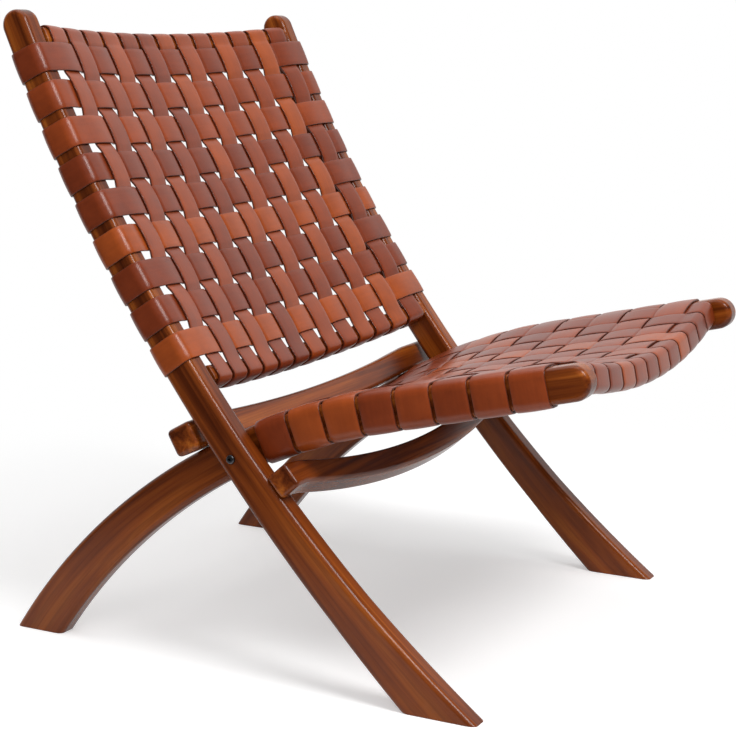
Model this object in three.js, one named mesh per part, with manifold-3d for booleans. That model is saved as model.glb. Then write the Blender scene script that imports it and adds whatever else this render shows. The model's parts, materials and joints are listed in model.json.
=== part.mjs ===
// Folding lounge chair: a wooden X-frame with a seat and a back of woven leather straps.
// Millimetres, +Z up, the sitter faces -Y. The back frame stands on the front feet, the seat frame on the
// rear feet, and the two turn on one bolt at each side.
import * as THREE from "three";
import { mergeVertices } from "three/addons/utils/BufferGeometryUtils.js";
import Module from "manifold-3d";

const wasm = await Module();
wasm.setup();

const DEGREE = Math.PI / 180;

// Whole chair
const CHAIR_WIDTH = 630;
const PIVOT_HEIGHT = 263.6;
const SIDE_GAP = 4; // between a back rail and the seat rail inside it
const FIT_GAP = 0.3; // between pieces that touch

// Side rails, sawn from boards of one thickness
const RAIL_THICKNESS = 29;
const RAIL_EDGE_RADIUS = 4.5;
const CURVE_STEP = 36; // length of a straight stretch along a sawn curve
const END_STEPS = 8; // straight stretches round a rail's half round end

// Back rails: one arc from the finial down to the front foot
const BACK_LEAN = 39.2 * DEGREE; // at the pivot
const BACK_RAIL_RADIUS = 2085;
const BACK_RAIL_SETFORE = 2.1; // centre-line in front of the pivot
const BACK_RAIL_TOP = 582; // finial above the pivot, along the rail
const BACK_RAIL_TOP_DEPTH = 36.5;
const BACK_RAIL_PIVOT_DEPTH = 41;
const FRONT_ANKLE_DROP = 215; // below the pivot, along the leg
const FRONT_ANKLE_DEPTH = 48;
const FRONT_FOOT_DROP = 355;
const FRONT_FOOT_DEPTH = 58.4;

// Seat rails: straight from the nose, then one arc down to the rear foot
const SEAT_SLOPE = 13.6 * DEGREE;
const SEAT_RAIL_REACH = 432.5; // nose in front of the pivot, along the rail
const SEAT_BEND_START = 183;
const SEAT_RAIL_RADIUS = 792;
const SEAT_RAIL_RISE = 3.2; // centre-line above the pivot
const SEAT_NOSE_DEPTH = 39;
const SEAT_RAIL_PIVOT_DEPTH = 46;
const REAR_FOOT_RUN = 400;
const REAR_FOOT_DEPTH = 57;

// Bowed crossbars and their tenons
const BAR_HEIGHT = 22; // along the weave
const BAR_DEPTH = 26; // away from the sitter
const BAR_EDGE_RADIUS = 6;
const BAR_STEPS = 12;
const BACK_BOW = 27;
const SEAT_BOW = 32;
const TENON_LENGTH = 18;
const TENON_HEIGHT = 14;
const TENON_DEPTH = 14;
const TOP_BAR_DROP = 37; // centre below the finial
const LOWER_BAR_RISE = 100; // centre above the pivot
const SEAT_FRONT_BAR_REACH = 398; // centre in front of the pivot
const SEAT_REAR_BAR_RUN = 21; // centre behind the pivot

// Leather straps
const BACK_STRAP_WIDTH = 36;
const SEAT_ROW_WIDTH = 41;
const SEAT_COLUMN_WIDTH = 37;
const STRAP_THICKNESS = 2.6;
const STRAP_GAP = 0.5; // between a strap and the wood under it
const BACK_LAST_ROW_GAP = 10.5; // between the lowest back row and the lower crossbar
const SEAT_FIRST_ROW_GAP = 1.5; // between the front crossbar and the first seat row
const SEAT_LAST_ROW_GAP = 14.5; // between the last seat row and the pivot washers
const CROSSING_GAP = 0.3; // between two straps where they cross
const CROSSING_EASE = 0.4; // a strap stays level this far past the one it crosses
const BACK_TAUTNESS = 7; // rise of the back's weave over its bow, half way between the crossbars
const SEAT_REAR_LIFT = 10; // rise of the seat's bow from its front crossbar to its rear one
const BACK_ROWS = 9;
const BACK_COLUMNS = 13;
const SEAT_ROWS = 8;
const SEAT_COLUMNS = 12;

// Stretcher and stop bar, held by round pegs
const STRETCHER_HEIGHT = 30;
const STRETCHER_DEPTH = 31;
const STRETCHER_BOW = 36;
const STRETCHER_GAP = 3; // under the strapped seat rails
const STOP_BAR_DEPTH = 35;
const STOP_BAR_HEIGHT = 34;
const STOP_BAR_BOW = 11;
const STOP_BAR_GAP = 4.5; // behind the back rails, which lean on it under load
const STOP_BAR_SEAT = 0.6; // over the curve of the rear legs
const BEAM_EDGE_RADIUS = 5;
const PEG_DIAMETER = 10;
const PEG_LENGTH = 20;
const PEG_SIDES = 12;

// Pivot hardware
const BOLT_DIAMETER = 6;
const BOLT_HEAD_DIAMETER = 10.5;
const BOLT_HEAD_HEIGHT = 3.3;
const BOLT_SHOULDER = { radius: 0.92, rise: 0.6 }; // of the head's radius and height
const BOLT_CROWN = 0.6; // flat top, of the head's radius
const BOLT_SOCKET = 4;
const BOLT_SOCKET_DEPTH = 2;
const BOLT_SOCKET_SIDES = 6;
const INSERT_DIAMETER = 10;
const INSERT_LENGTH = 20;
const WASHER_DIAMETER = 20;
const TURNED_SIDES = 16;

// Working tolerances
const EDGE_SEGMENTS = 2; // facets round an edge
const OVERCUT = 1; // of a cut past the face it opens
const WELD = 1e-3; // vertices closer than this are one
const TANGENT_STEP = 0.5;
const SCAN_STEP = 1; // between tested points of a beam
const SCAN_REACH = 2; // between tested points of a rail
const BISECTIONS = 40;

// Places that follow from the sizes above
const BACK_HALF_SPAN = CHAIR_WIDTH / 2 - RAIL_THICKNESS;
const SEAT_HALF_SPAN = BACK_HALF_SPAN - SIDE_GAP - RAIL_THICKNESS;
const STRAP_LEVEL = STRAP_GAP + STRAP_THICKNESS / 2;
const STRAP_COVER = STRAP_GAP + STRAP_THICKNESS;
const CROSSING_LIFT = (STRAP_THICKNESS + CROSSING_GAP) / 2;
const SIDE_AXIS = new THREE.Vector3(1, 0, 0);

// Finishes
const finish = (color, roughness, metalness = 0) =>
  new THREE.MeshStandardMaterial({ color, roughness, metalness });
const WOOD = finish(0x6b3216, 0.35);
const LEATHER = finish(0x8a4431, 0.45);
const STEEL = finish(0x2e2e30, 0.4, 1);
const BRASS = finish(0xb08d4a, 0.35, 1);
const NYLON = finish(0x2a2523, 0.6);

// Solid of a closed geometry, for joining and cutting
function solidOf(geometry) {
  const bare = geometry.clone();
  for (const name of Object.keys(bare.attributes)) {
    if (name !== "position") bare.deleteAttribute(name);
  }
  const merged = mergeVertices(bare, WELD);
  const vertProperties = new Float32Array(merged.attributes.position.array);
  const triVerts = new Uint32Array(merged.index.array);
  return new wasm.Manifold(new wasm.Mesh({ numProp: 3, vertProperties, triVerts }));
}

function geometryOf(solid) {
  const mesh = solid.getMesh();
  const geometry = new THREE.BufferGeometry();
  geometry.setAttribute("position", new THREE.BufferAttribute(mesh.vertProperties, 3));
  geometry.setIndex(new THREE.BufferAttribute(mesh.triVerts, 1));
  geometry.computeVertexNormals();
  return geometry;
}

function cut(geometry, tools) {
  return geometryOf(tools.reduce((body, tool) => body.subtract(solidOf(tool)), solidOf(geometry)));
}

function join(geometry, pieces) {
  return geometryOf(pieces.reduce((body, piece) => body.add(solidOf(piece)), solidOf(geometry)));
}

function meshOf(name, geometry, material) {
  const mesh = new THREE.Mesh(geometry, material);
  mesh.name = name;
  return mesh;
}

// Plate of an outline with rounded edges, its thickness centred on the outline's plane
function roundedPlate(points, thickness, radius) {
  const geometry = new THREE.ExtrudeGeometry(new THREE.Shape(points), {
    depth: thickness - 2 * radius,
    bevelThickness: radius,
    bevelSize: radius,
    bevelOffset: -radius,
    bevelSegments: EDGE_SEGMENTS,
    steps: 1,
  });
  return geometry.translate(0, 0, radius - thickness / 2);
}

// Side-plane directions, as (rearward, upward), for a lean from the vertical
const upward = (lean) => new THREE.Vector2(Math.sin(lean), Math.cos(lean));
const rearward = (lean) => new THREE.Vector2(Math.cos(lean), -Math.sin(lean));

// Linear taper through [station, depth] pairs in rising order of station
function taper(stations, at) {
  const last = stations.length - 2;
  const i = Math.min(last, Math.max(0, stations.findIndex(([station]) => station > at) - 1));
  const [from, to] = at > stations[last + 1][0] ? stations.slice(-2) : stations.slice(i, i + 2);
  return THREE.MathUtils.mapLinear(at, from[0], to[0], from[1], to[1]);
}

// Back rail centre-line, by distance above the pivot along the rail
function backLine(along) {
  const out = rearward(BACK_LEAN - along / BACK_RAIL_RADIUS);
  const point = rearward(BACK_LEAN).multiplyScalar(-BACK_RAIL_SETFORE - BACK_RAIL_RADIUS);
  return { point: point.addScaledVector(out, BACK_RAIL_RADIUS), out };
}

function backDepth(along) {
  const stations = [
    [-FRONT_FOOT_DROP, FRONT_FOOT_DEPTH],
    [-FRONT_ANKLE_DROP, FRONT_ANKLE_DEPTH],
    [0, BACK_RAIL_PIVOT_DEPTH],
    [BACK_RAIL_TOP, BACK_RAIL_TOP_DEPTH],
  ];
  return taper(stations, along);
}

// Seat rail centre-line, by distance behind the pivot along the rail
function seatLine(along) {
  const slopeAt = (station) =>
    SEAT_SLOPE + Math.max(0, station + SEAT_BEND_START) / SEAT_RAIL_RADIUS;
  const pivotSlope = slopeAt(0);
  const slope = slopeAt(along);
  const point = upward(pivotSlope).multiplyScalar(SEAT_RAIL_RISE - SEAT_RAIL_RADIUS);
  point.addScaledVector(upward(slope), SEAT_RAIL_RADIUS);
  point.addScaledVector(rearward(slope), Math.min(0, along + SEAT_BEND_START));
  return { point, out: upward(slope) };
}

function seatDepth(along) {
  const stations = [
    [-SEAT_RAIL_REACH, SEAT_NOSE_DEPTH],
    [0, SEAT_RAIL_PIVOT_DEPTH],
    [REAR_FOOT_RUN, REAR_FOOT_DEPTH],
  ];
  return taper(stations, along);
}

// Edge point of a rail: side 1 on the outward side of its line, -1 on the other
function edgePoint(line, depth, side, along) {
  const { point, out } = line(along);
  return point.addScaledVector(out, (side * depth(along)) / 2);
}

// Smallest value between two bounds from which a test holds
function firstWhere(low, high, holds) {
  for (let i = 0; i < BISECTIONS; i += 1) {
    const middle = (low + high) / 2;
    if (holds(middle)) high = middle;
    else low = middle;
  }
  return high;
}

// One edge from its first station to the floor, which it passes before the last
function edgeToFloor(line, depth, side, first, last) {
  const at = (share) => edgePoint(line, depth, side, THREE.MathUtils.lerp(first, last, share));
  const floor = firstWhere(0, 1, (share) => at(share).y <= -PIVOT_HEIGHT);
  const count = Math.ceil((floor * Math.abs(last - first)) / CURVE_STEP);
  return [...Array(count + 1).keys()].map((i) => at((floor * i) / count));
}

// Half round end of a rail, from its outward side to the other
function roundEnd(line, depth, along, heading) {
  const { point, out } = line(along);
  const radius = depth(along) / 2;
  const points = [];
  for (let i = 1; i < END_STEPS; i += 1) {
    const turn = (Math.PI * i) / END_STEPS;
    const spot = point.clone().addScaledVector(out, radius * Math.cos(turn));
    points.push(spot.addScaledVector(heading, radius * Math.sin(turn)));
  }
  return points;
}

function backRailOutline() {
  const end = BACK_RAIL_TOP - BACK_RAIL_TOP_DEPTH / 2;
  const rearEdge = edgeToFloor(backLine, backDepth, 1, end, -2 * FRONT_FOOT_DROP);
  const frontEdge = edgeToFloor(backLine, backDepth, -1, end, -2 * FRONT_FOOT_DROP);
  const finial = roundEnd(backLine, backDepth, end, upward(BACK_LEAN - end / BACK_RAIL_RADIUS));
  return [...rearEdge.reverse(), ...finial, ...frontEdge];
}

function seatRailOutline() {
  const end = -SEAT_RAIL_REACH + SEAT_NOSE_DEPTH / 2;
  const topEdge = [edgePoint(seatLine, seatDepth, 1, end)];
  topEdge.push(...edgeToFloor(seatLine, seatDepth, 1, -SEAT_BEND_START, 2 * REAR_FOOT_RUN));
  const lowerEdge = [edgePoint(seatLine, seatDepth, -1, end)];
  lowerEdge.push(...edgeToFloor(seatLine, seatDepth, -1, -SEAT_BEND_START, 2 * REAR_FOOT_RUN));
  const nose = roundEnd(seatLine, seatDepth, end, rearward(SEAT_SLOPE).negate());
  return [...topEdge.reverse(), ...nose, ...lowerEdge];
}

// Woven faces: the line of the wood that the straps lie on, the clear span and its bow
const BACK_FACE = {
  edge: (along) => edgePoint(backLine, backDepth, -1, along),
  depth: backDepth,
  halfSpan: BACK_HALF_SPAN,
  bow: BACK_BOW,
  lift: (share) => BACK_TAUTNESS * Math.sin(Math.PI * share),
  columns: BACK_COLUMNS,
  columnWidth: BACK_STRAP_WIDTH,
  rows: BACK_ROWS,
  rowWidth: BACK_STRAP_WIDTH,
  rowOver: (row, column) => (row + column) % 2 === 0,
};
const SEAT_FACE = {
  edge: (along) => edgePoint(seatLine, seatDepth, 1, along),
  depth: seatDepth,
  halfSpan: SEAT_HALF_SPAN,
  bow: SEAT_BOW,
  lift: (share) => SEAT_REAR_LIFT * share,
  columns: SEAT_COLUMNS,
  columnWidth: SEAT_COLUMN_WIDTH,
  rows: SEAT_ROWS,
  rowWidth: SEAT_ROW_WIDTH,
  rowOver: (row, column) => (row + column) % 2 === 1,
};
for (const face of [BACK_FACE, SEAT_FACE]) {
  face.bowRadius = (face.halfSpan ** 2 + face.bow ** 2) / (2 * face.bow);
  const wrapRadius = face.bowRadius + BAR_DEPTH + STRAP_COVER; // the widest turn of a column's wraps
  face.halfArc = face.bowRadius * Math.asin((face.halfSpan - STRAP_GAP) / wrapRadius);
  face.rowReach = (BAR_HEIGHT + face.rowWidth) / 2; // middle of a row from the middle of the bar it meets
}

// Rows, spread evenly from the first to the last
const topBarAt = BACK_RAIL_TOP - TOP_BAR_DROP;
BACK_FACE.bars = [LOWER_BAR_RISE, topBarAt];
BACK_FACE.firstRow = topBarAt - BACK_FACE.rowReach;
BACK_FACE.lastRow = LOWER_BAR_RISE + BACK_FACE.rowReach + BACK_LAST_ROW_GAP;
SEAT_FACE.bars = [-SEAT_FRONT_BAR_REACH, SEAT_REAR_BAR_RUN];
SEAT_FACE.firstRow = -SEAT_FRONT_BAR_REACH + SEAT_FACE.rowReach + SEAT_FIRST_ROW_GAP;
SEAT_FACE.lastRow = -(WASHER_DIAMETER + SEAT_ROW_WIDTH) / 2 - SEAT_LAST_ROW_GAP;
const rowAt = (face, row) =>
  THREE.MathUtils.mapLinear(row, 1, face.rows, face.firstRow, face.lastRow);

// Place and directions on a woven face: along it, and away from the sitter
function faceFrame(face, along) {
  const origin = face.edge(along);
  const ahead = face.edge(along + TANGENT_STEP).sub(face.edge(along - TANGENT_STEP)).normalize();
  const away = new THREE.Vector2(ahead.y, -ahead.x);
  return { origin, ahead, away };
}

// Rise of a face towards the sitter: full in the middle of the span, level over each crossbar
function riseOf(face, side, along) {
  const ends = BAR_HEIGHT / 2 + STRAP_COVER;
  const [first, last] = [face.bars[0] + ends, face.bars[1] - ends];
  const share = THREE.MathUtils.clamp((along - first) / (last - first), 0, 1);
  return face.lift(share) * Math.max(0, 1 - (side / face.halfSpan) ** 2);
}

function placeOnFace(face, side, along, away) {
  const frame = faceFrame(face, along);
  const spot = frame.origin.addScaledVector(frame.away, away - riseOf(face, side, along));
  return new THREE.Vector3(side, spot.x, spot.y);
}

function faceMatrix(face, along) {
  const { origin, ahead, away } = faceFrame(face, along);
  const matrix = new THREE.Matrix4().makeBasis(
    SIDE_AXIS,
    new THREE.Vector3(0, away.x, away.y),
    new THREE.Vector3(0, ahead.x, ahead.y),
  );
  return matrix.setPosition(0, origin.x, origin.y);
}

// Point of the bow, as (side, away): an arc length from the middle and a height behind the bow
function bowPoint(face, arc, behind) {
  const turn = arc / face.bowRadius;
  const radius = face.bowRadius + behind;
  return new THREE.Vector2(
    radius * Math.sin(turn),
    face.bow - face.bowRadius + radius * Math.cos(turn),
  );
}

// Crossbar: a bowed band with round edges and a tenon at each end
function crossbarGeometry(face, along) {
  const half = face.halfSpan - FIT_GAP;
  const edge = (behind, i) => {
    const side = half * ((2 * i) / BAR_STEPS - 1);
    const height = Math.sqrt((face.bowRadius + behind) ** 2 - side ** 2);
    return new THREE.Vector2(side, face.bow - face.bowRadius + height - riseOf(face, side, along));
  };
  const steps = [...Array(BAR_STEPS + 1).keys()];
  const front = steps.map((i) => edge(0, i));
  const rear = steps.map((i) => edge(BAR_DEPTH, i)).reverse();
  const band = roundedPlate([...front, ...rear], BAR_HEIGHT, BAR_EDGE_RADIUS);
  const root = BAR_EDGE_RADIUS + BAR_DEPTH / 2; // tenon's start inside the bar
  const tenon = (side) =>
    new THREE.BoxGeometry(root + TENON_LENGTH, TENON_DEPTH, TENON_HEIGHT).translate(
      side * (face.halfSpan + (TENON_LENGTH - root) / 2),
      BAR_DEPTH / 2,
      0,
    );
  return join(band, [tenon(1), tenon(-1)]).applyMatrix4(faceMatrix(face, along));
}

// Cut in the right-hand rail for a crossbar's tenon
function mortise(face, along) {
  const size = (tenonSize) => tenonSize + 2 * FIT_GAP;
  const length = TENON_LENGTH + FIT_GAP;
  return new THREE.BoxGeometry(2 * length, size(TENON_DEPTH), size(TENON_HEIGHT))
    .translate(face.halfSpan, BAR_DEPTH / 2, 0)
    .applyMatrix4(faceMatrix(face, along));
}

// Path of a strap's middle round a rounded bar: from its tail on the far face, round the outer side, to the
// near face. Coordinates are (outward along the span, away from the sitter).
function wrapPath(inner, width, depth, radius) {
  const outer = inner + width;
  const turn = radius + STRAP_LEVEL;
  const corner = (outward, away, angle) =>
    new THREE.Vector2(outward + turn * Math.cos(angle), away + turn * Math.sin(angle));
  const eighth = Math.PI / 4;
  const path = [new THREE.Vector2(inner + radius, depth + STRAP_LEVEL)];
  for (const i of [2, 1, 0]) path.push(corner(outer - radius, depth - radius, i * eighth));
  for (const i of [0, -1, -2]) path.push(corner(outer - radius, radius, i * eighth));
  path.push(new THREE.Vector2(inner + radius, -STRAP_LEVEL));
  return path;
}

const columnAt = (face, column) => face.halfArc * ((2 * column - 1) / face.columns - 1);

// Two points where a strap passes a crossing strap, level over or under it
function crossing(middle, crossedWidth, over) {
  const half = crossedWidth / 2 + CROSSING_EASE;
  const behind = -STRAP_LEVEL + (over ? -CROSSING_LIFT : CROSSING_LIFT);
  return [new THREE.Vector2(middle - half, behind), new THREE.Vector2(middle + half, behind)];
}

// A row's middle path, as (side, away), at one of its two edges
function rowPath(face, row, along) {
  const rightEnd = wrapPath(face.halfSpan, RAIL_THICKNESS, face.depth(along), RAIL_EDGE_RADIUS);
  const leftEnd = rightEnd.map((spot) => new THREE.Vector2(-spot.x, spot.y));
  const woven = [];
  for (let column = 1; column <= face.columns; column += 1) {
    const spots = crossing(columnAt(face, column), face.columnWidth, face.rowOver(row, column));
    woven.push(...spots.map((spot) => bowPoint(face, spot.x, spot.y)));
  }
  return [...leftEnd, ...woven, ...rightEnd.reverse()];
}

// A column's middle path, as (along, behind the bow)
function columnPath(face, column) {
  const [first, last] = face.bars;
  const wrap = wrapPath(-BAR_HEIGHT / 2, BAR_HEIGHT, BAR_DEPTH, BAR_EDGE_RADIUS);
  const start = wrap.map((spot) => new THREE.Vector2(first - spot.x, spot.y));
  const end = wrap.map((spot) => new THREE.Vector2(last + spot.x, spot.y)).reverse();
  const woven = [];
  for (let row = 1; row <= face.rows; row += 1) {
    woven.push(crossing(rowAt(face, row), face.rowWidth, !face.rowOver(row, column)));
  }
  woven.sort((one, other) => one[0].x - other[0].x);
  return [...start, ...woven.flat(), ...end];
}

// Closed outline of a strap's thickness around its middle path
function thicken(path) {
  const sides = [[], []];
  path.forEach((spot, i) => {
    const before = path[Math.max(0, i - 1)];
    const after = path[Math.min(path.length - 1, i + 1)];
    const arriving = (i ? spot : after).clone().sub(before).normalize();
    const leaving = after.clone().sub(i < path.length - 1 ? spot : before).normalize();
    const normal = new THREE.Vector2(-arriving.y - leaving.y, arriving.x + leaving.x).normalize();
    const reach = STRAP_THICKNESS / 2 / (normal.y * arriving.x - normal.x * arriving.y);
    sides[0].push(spot.clone().addScaledVector(normal, -reach));
    sides[1].push(spot.clone().addScaledVector(normal, reach));
  });
  return [...sides[0], ...sides[1].reverse()];
}

// Strap solid between its two edges, each the thickened outline of a path in place
function strapGeometry(firstEdge, lastEdge) {
  const count = firstEdge.length;
  const index = [];
  for (let i = 0; i + 1 < count / 2; i += 1) {
    const [a, b, c, d] = [i, i + 1, count - 2 - i, count - 1 - i];
    index.push(a, c, b, a, d, c);
    index.push(count + a, count + b, count + c, count + a, count + c, count + d);
  }
  for (let i = 0; i < count; i += 1) {
    const next = (i + 1) % count;
    index.push(i, next, count + next, i, count + next, count + i);
  }
  const geometry = new THREE.BufferGeometry().setFromPoints([...firstEdge, ...lastEdge]);
  geometry.setIndex(index);
  return geometry;
}

function rowGeometry(face, row) {
  const edges = [-1, 1].map((side) => {
    const along = rowAt(face, row) + (side * face.rowWidth) / 2;
    const outline = thicken(rowPath(face, row, along));
    return outline.map((spot) => placeOnFace(face, spot.x, along, spot.y));
  });
  return strapGeometry(edges[0], edges[1]);
}

function columnGeometry(face, column) {
  const outline = thicken(columnPath(face, column));
  const edges = [1, -1].map((side) =>
    outline.map((spot) => {
      const arc = columnAt(face, column) + (side * face.columnWidth) / 2;
      const bowed = bowPoint(face, arc, spot.y);
      return placeOnFace(face, bowed.x, spot.x, bowed.y);
    }),
  );
  return strapGeometry(edges[0], edges[1]);
}

const beamCorner = (frame, ahead, away) =>
  frame.origin.clone().addScaledVector(frame.ahead, ahead).addScaledVector(frame.away, away);

// Stretcher: as high on the front legs as the strapped seat rails above it allow
function stretcherClears(drop) {
  const frame = faceFrame(BACK_FACE, -drop);
  for (let out = 0; out <= STRETCHER_DEPTH; out += SCAN_STEP) {
    const corner = beamCorner(frame, STRETCHER_HEIGHT / 2 + STRETCHER_GAP, -out - FIT_GAP);
    for (let along = -SEAT_BEND_START; along <= 0; along += SCAN_REACH) {
      const { point, out: up } = seatLine(along);
      const under = point.addScaledVector(up, -seatDepth(along) / 2 - STRAP_COVER);
      const apart = corner.clone().sub(under);
      const level = new THREE.Vector2(up.y, -up.x);
      if (Math.abs(apart.dot(level)) < SCAN_REACH && apart.dot(up) > 0) return false;
    }
  }
  return true;
}
const stretcherDrop = firstWhere(0, FRONT_ANKLE_DROP, stretcherClears);

function stretcherMatrix() {
  const { origin, ahead, away } = faceFrame(BACK_FACE, -stretcherDrop);
  const matrix = new THREE.Matrix4().makeBasis(
    SIDE_AXIS,
    new THREE.Vector3(0, ahead.x, ahead.y),
    new THREE.Vector3(0, -away.x, -away.y),
  );
  return matrix.setPosition(0, origin.x, origin.y);
}

// Outline of a beam across the chair, level over the legs and let down between them
function beamOutline(height, halfSpan, bow) {
  const radius = (halfSpan ** 2 + bow ** 2) / (2 * bow);
  const edge = (level) =>
    [...Array(BAR_STEPS + 1).keys()].map((i) => {
      const side = halfSpan * ((2 * i) / BAR_STEPS - 1);
      const sag = bow - radius + Math.sqrt(radius ** 2 - side ** 2);
      return new THREE.Vector2(side, level - sag);
    });
  const [end, half] = [CHAIR_WIDTH / 2, height / 2];
  const lower = [new THREE.Vector2(-end, -half), ...edge(-half), new THREE.Vector2(end, -half)];
  const upper = [new THREE.Vector2(end, half), ...edge(half).reverse(), new THREE.Vector2(-end, half)];
  return [...lower, ...upper];
}

function stretcherGeometry() {
  const outline = beamOutline(STRETCHER_HEIGHT, BACK_HALF_SPAN, STRETCHER_BOW);
  const plate = roundedPlate(outline, STRETCHER_DEPTH, BEAM_EDGE_RADIUS);
  plate.translate(0, 0, STRETCHER_DEPTH / 2 + FIT_GAP);
  const at = CHAIR_WIDTH / 2 - RAIL_THICKNESS / 2;
  return join(plate, [peg(at, PEG_DIAMETER, PEG_LENGTH), peg(-at, PEG_DIAMETER, PEG_LENGTH)]);
}

// Peg down from a beam's seat at z = 0, rooted in the beam
function peg(side, diameter, length) {
  const root = BEAM_EDGE_RADIUS;
  return new THREE.CylinderGeometry(diameter / 2, diameter / 2, length + root, PEG_SIDES)
    .rotateX(Math.PI / 2)
    .translate(side, 0, (root - length) / 2);
}

function pegHole(side) {
  return peg(side, PEG_DIAMETER + 2 * FIT_GAP, PEG_LENGTH + FIT_GAP);
}

// Stop bar: on top of the rear legs, as close behind the back rails as its gap allows
function stopBarClears(run) {
  const frame = faceFrame(SEAT_FACE, run);
  for (let up = 0; up <= STOP_BAR_HEIGHT; up += SCAN_STEP) {
    const corner = beamCorner(frame, -STOP_BAR_DEPTH / 2 - STOP_BAR_GAP, -up);
    for (let along = 0; along <= LOWER_BAR_RISE; along += SCAN_REACH) {
      const { point, out } = backLine(along);
      const behind = point.addScaledVector(out, backDepth(along) / 2);
      const apart = corner.clone().sub(behind);
      const level = new THREE.Vector2(-out.y, out.x);
      if (Math.abs(apart.dot(level)) < SCAN_REACH && apart.dot(out) < 0) return false;
    }
  }
  return true;
}
const stopBarRun = firstWhere(0, REAR_FOOT_RUN / 2, stopBarClears);

function stopBarMatrix() {
  const { origin, ahead, away } = faceFrame(SEAT_FACE, stopBarRun);
  const matrix = new THREE.Matrix4().makeBasis(
    SIDE_AXIS,
    new THREE.Vector3(0, ahead.x, ahead.y),
    new THREE.Vector3(0, -away.x, -away.y),
  );
  return matrix.setPosition(0, origin.x, origin.y);
}

function stopBarGeometry() {
  const outline = beamOutline(STOP_BAR_HEIGHT, SEAT_HALF_SPAN, STOP_BAR_BOW);
  const plate = roundedPlate(outline, STOP_BAR_DEPTH, BEAM_EDGE_RADIUS).rotateX(Math.PI / 2);
  plate.translate(0, 0, STOP_BAR_HEIGHT / 2 + STOP_BAR_SEAT);
  const at = SEAT_HALF_SPAN + RAIL_THICKNESS / 2;
  return join(plate, [peg(at, PEG_DIAMETER, PEG_LENGTH), peg(-at, PEG_DIAMETER, PEG_LENGTH)]);
}

// Turned piece on the pivot axis, from (radius, side) points
function turned(profile) {
  const points = profile.map(([radius, side]) => new THREE.Vector2(radius, side));
  return new THREE.LatheGeometry(points, TURNED_SIDES).rotateZ(-Math.PI / 2);
}

// Round cut through a rail on the pivot axis
function pivotHole(diameter, from, to) {
  return new THREE.CylinderGeometry(diameter / 2, diameter / 2, to - from, TURNED_SIDES)
    .rotateZ(Math.PI / 2)
    .translate((from + to) / 2, 0, 0);
}

const seatOuter = SEAT_HALF_SPAN + RAIL_THICKNESS;
const backOuter = CHAIR_WIDTH / 2;
const BOLT_HOLE = BOLT_DIAMETER + 2 * FIT_GAP;
const INSERT_HOLE = INSERT_DIAMETER + 2 * FIT_GAP;

function boltGeometry() {
  const seat = backOuter + FIT_GAP;
  const tip = seatOuter - INSERT_LENGTH + FIT_GAP;
  const shank = BOLT_DIAMETER / 2;
  const head = BOLT_HEAD_DIAMETER / 2;
  const crown = seat + BOLT_HEAD_HEIGHT;
  const bolt = turned([
    [0, tip],
    [shank, tip],
    [shank, seat],
    [head, seat],
    [head * BOLT_SHOULDER.radius, seat + BOLT_HEAD_HEIGHT * BOLT_SHOULDER.rise],
    [head * BOLT_CROWN, crown],
    [0, crown],
  ]);
  const wall = BOLT_SOCKET / 2;
  const socket = new THREE.CylinderGeometry(wall, wall, 2 * BOLT_SOCKET_DEPTH, BOLT_SOCKET_SIDES);
  return cut(bolt, [socket.rotateZ(Math.PI / 2).translate(crown, 0, 0)]);
}

function ringGeometry(outer, inner, from, to) {
  return turned([
    [inner / 2, from],
    [outer / 2, from],
    [outer / 2, to],
    [inner / 2, to],
    [inner / 2, from],
  ]);
}

const insertGeometry = () =>
  ringGeometry(INSERT_DIAMETER, BOLT_HOLE, seatOuter - INSERT_LENGTH, seatOuter - FIT_GAP);
const washerGeometry = () =>
  ringGeometry(WASHER_DIAMETER, BOLT_HOLE, seatOuter + FIT_GAP, BACK_HALF_SPAN - FIT_GAP);

// Rails for the right-hand side, with their mortises, peg holes and pivot holes
const railMatrix = (middle) =>
  new THREE.Matrix4()
    .makeBasis(new THREE.Vector3(0, 1, 0), new THREE.Vector3(0, 0, 1), SIDE_AXIS)
    .setPosition(middle, 0, 0);

function backRailGeometry() {
  const board = roundedPlate(backRailOutline(), RAIL_THICKNESS, RAIL_EDGE_RADIUS);
  board.applyMatrix4(railMatrix(backOuter - RAIL_THICKNESS / 2));
  return cut(board, [
    ...BACK_FACE.bars.map((along) => mortise(BACK_FACE, along)),
    pegHole(backOuter - RAIL_THICKNESS / 2).applyMatrix4(stretcherMatrix()),
    pivotHole(BOLT_HOLE, BACK_HALF_SPAN - OVERCUT, backOuter + OVERCUT),
  ]);
}

function seatRailGeometry() {
  const board = roundedPlate(seatRailOutline(), RAIL_THICKNESS, RAIL_EDGE_RADIUS);
  board.applyMatrix4(railMatrix(SEAT_HALF_SPAN + RAIL_THICKNESS / 2));
  return cut(board, [
    ...SEAT_FACE.bars.map((along) => mortise(SEAT_FACE, along)),
    pegHole(SEAT_HALF_SPAN + RAIL_THICKNESS / 2).applyMatrix4(stopBarMatrix()),
    pivotHole(INSERT_HOLE, seatOuter - INSERT_LENGTH - FIT_GAP, seatOuter + OVERCUT),
  ]);
}

// A right-hand piece and its mirrored twin
function pair(group, name, geometry, material) {
  const right = meshOf(`${name}_right`, geometry, material);
  const left = meshOf(`${name}_left`, geometry, material);
  left.scale.x = -1;
  group.add(right, left);
}

function placed(mesh, matrix) {
  mesh.applyMatrix4(matrix);
  return mesh;
}

function addStraps(group, name, face) {
  for (let row = 1; row <= face.rows; row += 1) {
    group.add(meshOf(`${name}_strap_row_${row}`, rowGeometry(face, row), LEATHER));
  }
  for (let column = 1; column <= face.columns; column += 1) {
    group.add(meshOf(`${name}_strap_column_${column}`, columnGeometry(face, column), LEATHER));
  }
}

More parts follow.
